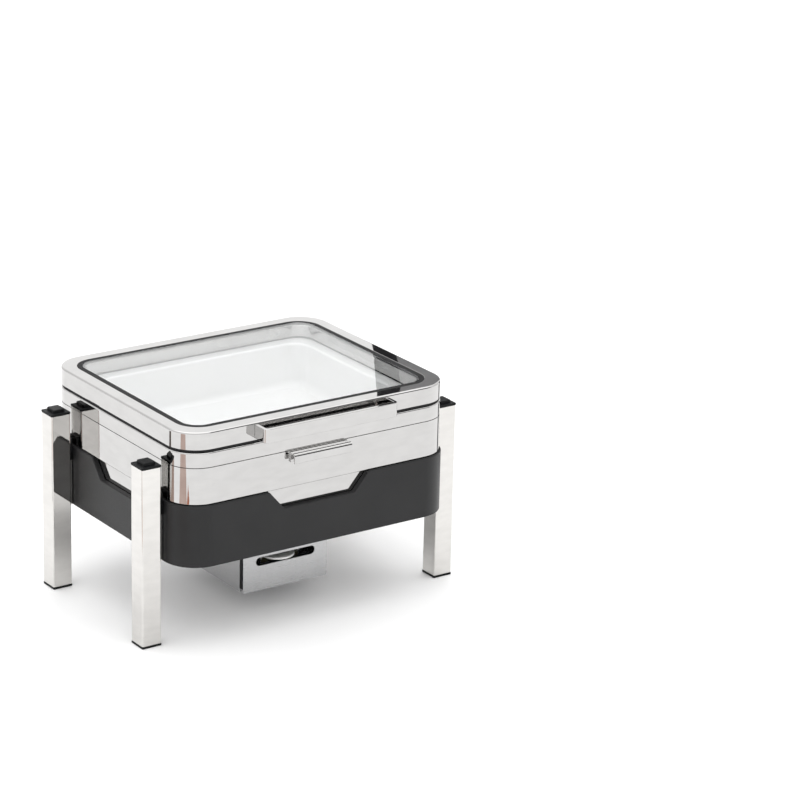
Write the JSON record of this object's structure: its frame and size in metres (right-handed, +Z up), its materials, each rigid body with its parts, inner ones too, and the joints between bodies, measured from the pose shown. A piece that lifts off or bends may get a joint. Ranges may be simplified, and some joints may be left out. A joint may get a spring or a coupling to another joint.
{
  "type": "electric buffet server",
  "caption": "Rectangular electric food warmer with a hinged glass lid, a porcelain pan over a water tub, and a heater drawer, in a four-legged stacking stand.",
  "frame": {"origin": "on the floor under the middle of the stand, midway between the lid handle's front face and the hinges' rear edge", "axes": "+Z up, -Y towards the front with the lid's handle, +X to the right seen from the front"},
  "size_m": [0.5176, 0.422, 0.315],
  "materials": {
    "polished_steel": "mirror polished stainless steel",
    "satin_steel": "satin stainless steel sheet",
    "plain_steel": "plain bright steel",
    "black_paint": "satin near-black powder coat",
    "black_plastic": "moulded, fine matt grain",
    "black_rubber": "matt black",
    "clear_glass": "clear toughened glass",
    "porcelain": "white glaze",
    "cast_aluminium": "as cast",
    "cream_plastic": "moulded thermoset",
    "white_plastic": "moulded, smooth",
    "silicone_lead": "silicone sleeving"
  },
  "bodies": {
    "frame": {"leg_front_left": "polished_steel", "leg_front_right": "polished_steel", "leg_rear_left": "polished_steel", "leg_rear_right": "polished_steel", "stacking_cap_front_left": "black_plastic", "stacking_cap_front_right": "black_plastic", "stacking_cap_rear_left": "black_plastic", "stacking_cap_rear_right": "black_plastic", "foot_cap_front_left": "black_plastic", "foot_cap_front_right": "black_plastic", "foot_cap_rear_left": "black_plastic", "foot_cap_rear_right": "black_plastic", "leg_clip_front_left": "black_plastic", "leg_clip_front_right": "black_plastic", "leg_clip_rear_left": "black_plastic", "leg_clip_rear_right": "black_plastic", "leg_standoff_front_left": "polished_steel", "leg_standoff_front_right": "polished_steel", "leg_standoff_rear_left": "polished_steel", "leg_standoff_rear_right": "polished_steel", "leg_screw_front_left": "plain_steel", "leg_screw_front_right": "plain_steel", "leg_screw_rear_left": "plain_steel", "leg_screw_rear_right": "plain_steel", "frame_band": "black_paint", "crossbar_left": "polished_steel", "crossbar_right": "polished_steel", "heater_box": "satin_steel"},
    "heater_drawer": {"drawer_tray": "satin_steel", "drawer_front": "satin_steel", "front_insulator": "black_plastic", "heating_plate": "cast_aluminium", "heating_element": "plain_steel", "thermostat_bracket": "plain_steel", "thermostat_body": "cream_plastic", "thermostat_bush": "plain_steel", "thermal_cutout": "black_plastic", "power_inlet": "black_plastic", "supply_lead": "silicone_lead", "element_lead": "silicone_lead"},
    "dial": {"thermostat_dial": "white_plastic"},
    "server": {"water_tub": "polished_steel", "top_ring": "polished_steel", "food_pan": "porcelain", "lid_seal": "black_rubber", "body_handle": "polished_steel", "hinge_fork_left": "polished_steel", "hinge_fork_right": "polished_steel", "hinge_pin_left": "plain_steel", "hinge_pin_right": "plain_steel"},
    "lid": {"lid_frame": "polished_steel", "glass_gasket": "black_rubber", "lid_glass": "clear_glass", "lid_handle": "polished_steel", "lid_handle_screw_left": "plain_steel", "lid_handle_screw_right": "plain_steel", "hinge_arm_left": "polished_steel", "hinge_arm_right": "polished_steel"}
  },
  "joints": [
    {"name": "body_lift", "type": "slide", "parent": "frame", "child": "server", "axis": [0, 0, 1], "range_m": [0, 0.15]},
    {"name": "lid_hinge", "type": "hinge", "parent": "server", "child": "lid", "pos_m": [0, 0.202, 0.277], "axis": [-1, 0, 0], "range_deg": [0, 90]},
    {"name": "heater_drawer_slide", "type": "slide", "parent": "frame", "child": "heater_drawer", "axis": [0, -1, 0], "range_m": [0, 0.12]},
    {"name": "thermostat_dial_turn", "type": "hinge", "parent": "heater_drawer", "child": "dial", "pos_m": [0, -0.0732, 0.066], "axis": [0, 0, 1], "range_deg": [0, 270]}
  ]
}
